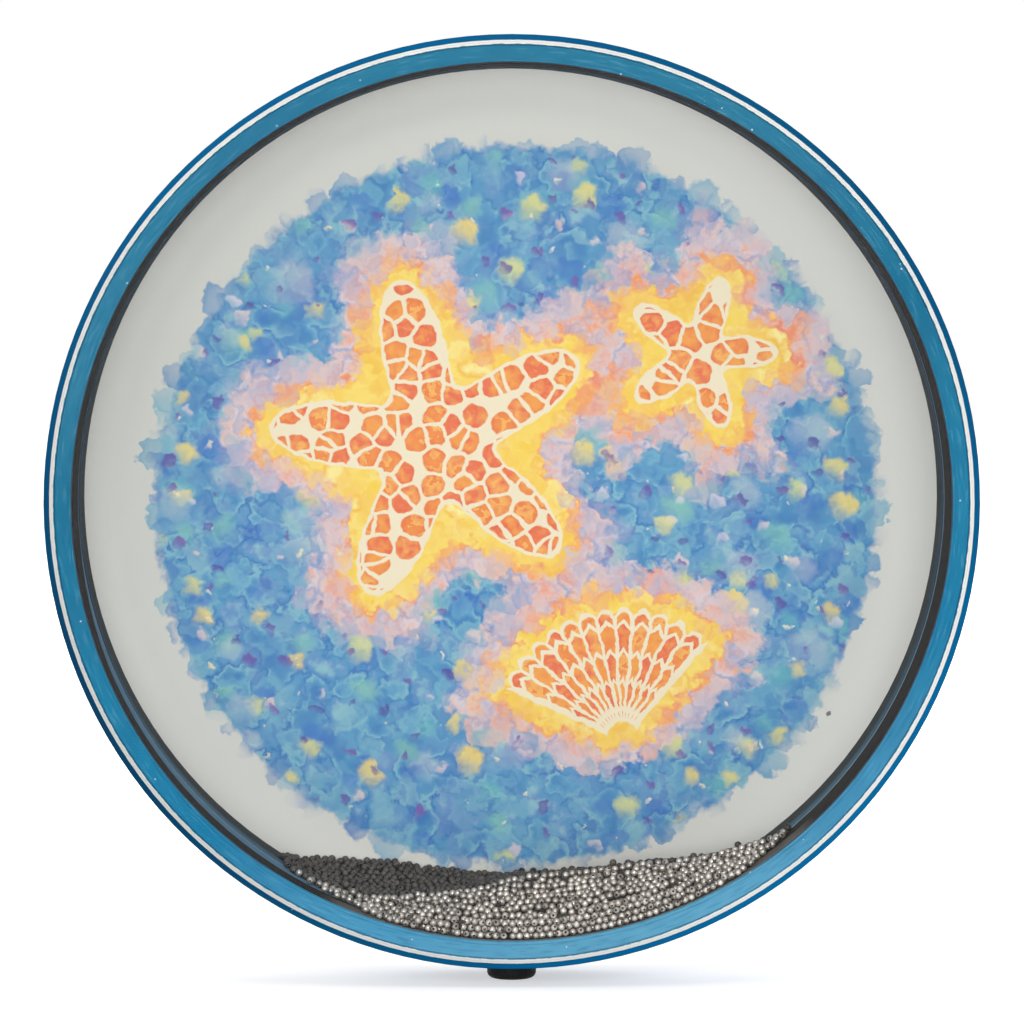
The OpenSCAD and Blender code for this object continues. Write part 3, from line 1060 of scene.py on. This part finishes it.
def lay_beads(dice):
    """All loose beads: against the clear head, on top and on the two fronts inside."""
    pile = Pile()
    lay_film_layers(pile, dice)
    for sink, part in itertools.product(TOP_SINKS, TOP_PARTS):
        lay_top_rows(pile, dice, part, sink)
        lay_top_fill(pile, dice, part, sink)
    for part in FRONT_PARTS:
        lay_front(pile, dice, part)
    return pile


def build_heap(bead, core):
    dice = random.Random(11)
    pile = lay_beads(dice)
    pattern = bead_shape()
    for part, centres in pile.beads.items():
        body, node = PILE_PARTS[part]
        loose = bead_piece(part + "_loose_beads", centres, pattern, dice)
        loose.data.materials.append(bead)
        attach(loose, body)
        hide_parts(node)
    for body in SLICE_FRONTS:
        packed = core_piece(body + "_core", body)
        packed.data.materials.append(core)
        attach(packed, body)
        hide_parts(body.replace("heap", "bead_mass"))


# CAD nodes


def dress(node, finish):
    """Gives a CAD node its finish."""
    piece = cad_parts[node]
    if not piece.material_slots:
        piece.data.materials.append(finish)
    for held in piece.material_slots:
        held.material = finish


def dress_nodes(shared):
    dress("shell", shell_finish(shared))
    dress("outer_wrap", wrap_finish(shared))
    hoop = hoop_finish(shared)
    dress("front_hoop", hoop)
    dress("rear_hoop", hoop)
    dress("front_head", clear_finish())
    dress("rear_head", printed_finish(shared))
    brown = (colour(28, 25, 23), colour(50, 46, 42))
    grey = (colour(38, 43, 45), colour(66, 71, 74))
    dress("front_lining", lining_finish("front_lining", *brown, shared))
    dress("rear_lining", lining_finish("rear_lining", *grey, shared))
    dress("fill_plug", rubber_finish(shared))


# Camera, light and floor

LENS = 166.63
SENSOR_WIDTH = 36.0
CAMERA_AT = (-0.01817, FRONT_Y - 2.052, 0.11684)
CAMERA_AIM = (-0.00008, FRONT_Y, -0.00332)
LAMP_AIM = (0, -0.03, 0)
FLOOR_HALF = 6.0

# Each lamp's name, place, width and power
LAMPS = (("key", (0.05, -2.9, 0.5), 1.8, 41.0), ("fill", (-0.9, -2.6, 0.3), 1.4, 18.0),
         ("top", (0.1, -0.7, 1.8), 1.0, 6.0), ("back_left", (-1.7, 1.9, 0.9), 1.5, 26.0),
         ("back_right", (1.7, 1.9, 1.1), 1.5, 26.0))


def aim(piece, target):
    """Turns a camera or a lamp to look at a point."""
    piece.rotation_euler = (Vector(target) - piece.location).to_track_quat("-Z", "Y").to_euler()


def place_camera():
    data = bpy.data.cameras.new("camera")
    data.lens = LENS
    data.sensor_width = SENSOR_WIDTH
    camera = show("camera", data)
    camera.location = CAMERA_AT
    aim(camera, CAMERA_AIM)
    bpy.context.scene.camera = camera


def place_lamp(name, where, size, power):
    data = bpy.data.lights.new(name, "AREA")
    data.size = size
    data.energy = power
    lamp = show(name, data)
    lamp.location = where
    aim(lamp, LAMP_AIM)


def seen_straight(board):
    """1 for rays that show the background: straight, in a gloss or through glass."""
    path = board.add("ShaderNodeLightPath").outputs
    straight = board.maths("MAXIMUM", path["Is Camera Ray"], path["Is Glossy Ray"])
    return board.maths("MAXIMUM", straight, path["Is Transmission Ray"])


def light_room():
    world = bpy.data.worlds.new("studio")
    bpy.context.scene.world = world
    world.use_nodes = True
    board = Board(world.node_tree)
    back = world.node_tree.nodes["Background"]
    back.inputs["Color"].default_value = (1, 1, 1, 1)
    board.put(board.step(seen_straight(board), 0.0, 1.0, 0.3, 1.0), back.inputs["Strength"])
    for lamp in LAMPS:
        place_lamp(*lamp)


def lay_floor():
    """A pale floor that clips to the white of the background but keeps a soft shadow."""
    made, board, shader = new_material("pale_floor")
    shader["Base Color"].default_value = colour(242, 242, 242)
    shader["Roughness"].default_value = 0.9
    shader["Specular IOR Level"].default_value = 0.1
    shader["Emission Color"].default_value = (1, 1, 1, 1)
    away = board.vector("LENGTH", board.place(), out="Value")
    lift = board.step(away, 0.22, 0.9, 0.5, 0.9)
    board.put(board.times(seen_straight(board), lift), shader["Emission Strength"])
    bm = bmesh.new()
    bmesh.ops.create_grid(bm, x_segments=1, y_segments=1, size=FLOOR_HALF)
    bmesh.ops.translate(bm, verts=bm.verts, vec=(0, 0, FLOOR_Z))
    floor = show("floor", to_mesh("floor", bm))
    floor.data.materials.append(made)


# The whole scene

place_camera()
bpy.context.scene.view_settings.view_transform = "Standard"
# The sides group paints light and shade round the rim.
shared = {"ring": ring_place_group(), "streaks": streaks_group(), "dust": dust_group(),
          "grain": grain_group(), "sides": painted_rim_light_group(), "teal": teal_group(),
          "print": print_group()}
dress_nodes(shared)
build_heap(bead_finish(), core_finish())
light_room()
lay_floor()
